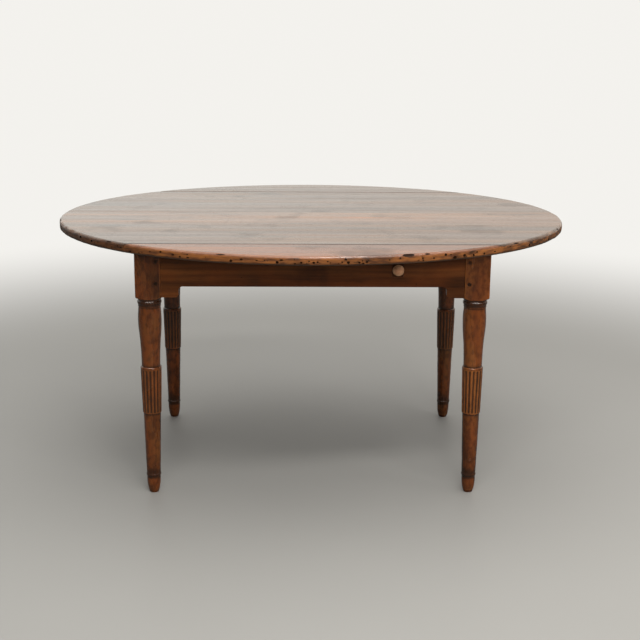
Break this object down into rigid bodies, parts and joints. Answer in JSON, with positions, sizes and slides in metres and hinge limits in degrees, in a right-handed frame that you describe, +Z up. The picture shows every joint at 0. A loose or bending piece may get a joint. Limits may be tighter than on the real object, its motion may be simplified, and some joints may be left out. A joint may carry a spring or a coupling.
{
  "type": "oval drop-leaf table",
  "caption": "Oval wooden table on turned, fluted legs, with a hinged drop leaf along each long side and pull-out leaf supports.",
  "frame": {"origin": "on the floor, under the middle of the oval top", "axes": "+X along the table's length, +Y from the front long side to the back one, +Z up"},
  "size_m": [1.514, 1.1958, 0.76],
  "materials": {
    "top_wood": "old waxed fruitwood, worn and faded",
    "leaf_wood": "old waxed fruitwood, worn and faded",
    "leg_wood": "old waxed red-brown wood with dark hollows",
    "apron_wood": "old waxed red-brown wood",
    "peg_wood": "dark end grain",
    "knob_wood": "pale wood polished by hands",
    "inner_wood": "plain unpolished wood",
    "hinge_iron": "dark wrought iron",
    "screw_steel": "dull steel"
  },
  "bodies": {
    "frame": {"back_apron": "apron_wood", "back_hinge_fixed_screws": "screw_steel", "back_left_hinge_fixed_plate": "hinge_iron", "back_left_hinge_pin": "hinge_iron", "back_left_leg": "leg_wood", "back_left_pegs": "peg_wood", "back_loper": "inner_wood", "back_loper_knob": "knob_wood", "back_loper_stop": "inner_wood", "back_middle_hinge_fixed_plate": "hinge_iron", "back_middle_hinge_pin": "hinge_iron", "back_right_hinge_fixed_plate": "hinge_iron", "back_right_hinge_pin": "hinge_iron", "back_right_leg": "leg_wood", "back_right_pegs": "peg_wood", "batten_screws": "screw_steel", "end_apron_blocks": "inner_wood", "front_apron": "apron_wood", "front_hinge_fixed_screws": "screw_steel", "front_left_hinge_fixed_plate": "hinge_iron", "front_left_hinge_pin": "hinge_iron", "front_left_leg": "leg_wood", "front_left_pegs": "peg_wood", "front_loper": "inner_wood", "front_loper_knob": "knob_wood", "front_loper_stop": "inner_wood", "front_middle_hinge_fixed_plate": "hinge_iron", "front_middle_hinge_pin": "hinge_iron", "front_right_hinge_fixed_plate": "hinge_iron", "front_right_hinge_pin": "hinge_iron", "front_right_leg": "leg_wood", "front_right_pegs": "peg_wood", "left_apron": "apron_wood", "left_batten": "inner_wood", "long_apron_blocks": "inner_wood", "loper_rail": "inner_wood", "right_apron": "apron_wood", "right_batten": "inner_wood", "top_board_back": "top_wood", "top_board_centre_back": "top_wood", "top_board_centre_front": "top_wood", "top_board_front": "top_wood", "top_board_tongues": "inner_wood"},
    "front_leaf": {"front_hinge_leaf_screws": "screw_steel", "front_leaf": "leaf_wood", "front_left_hinge_leaf_plate": "hinge_iron", "front_middle_hinge_leaf_plate": "hinge_iron", "front_right_hinge_leaf_plate": "hinge_iron"},
    "back_leaf": {"back_hinge_leaf_screws": "screw_steel", "back_leaf": "leaf_wood", "back_left_hinge_leaf_plate": "hinge_iron", "back_middle_hinge_leaf_plate": "hinge_iron", "back_right_hinge_leaf_plate": "hinge_iron"}
  },
  "joints": [
    {"name": "front_leaf_drop", "type": "hinge", "parent": "frame", "child": "front_leaf", "pos_m": [0, -0.437, 0.7304], "axis": [1, 0, 0], "range_deg": [0, 90]},
    {"name": "back_leaf_drop", "type": "hinge", "parent": "frame", "child": "back_leaf", "pos_m": [0, 0.437, 0.7304], "axis": [-1, 0, 0], "range_deg": [0, 90]}
  ]
}
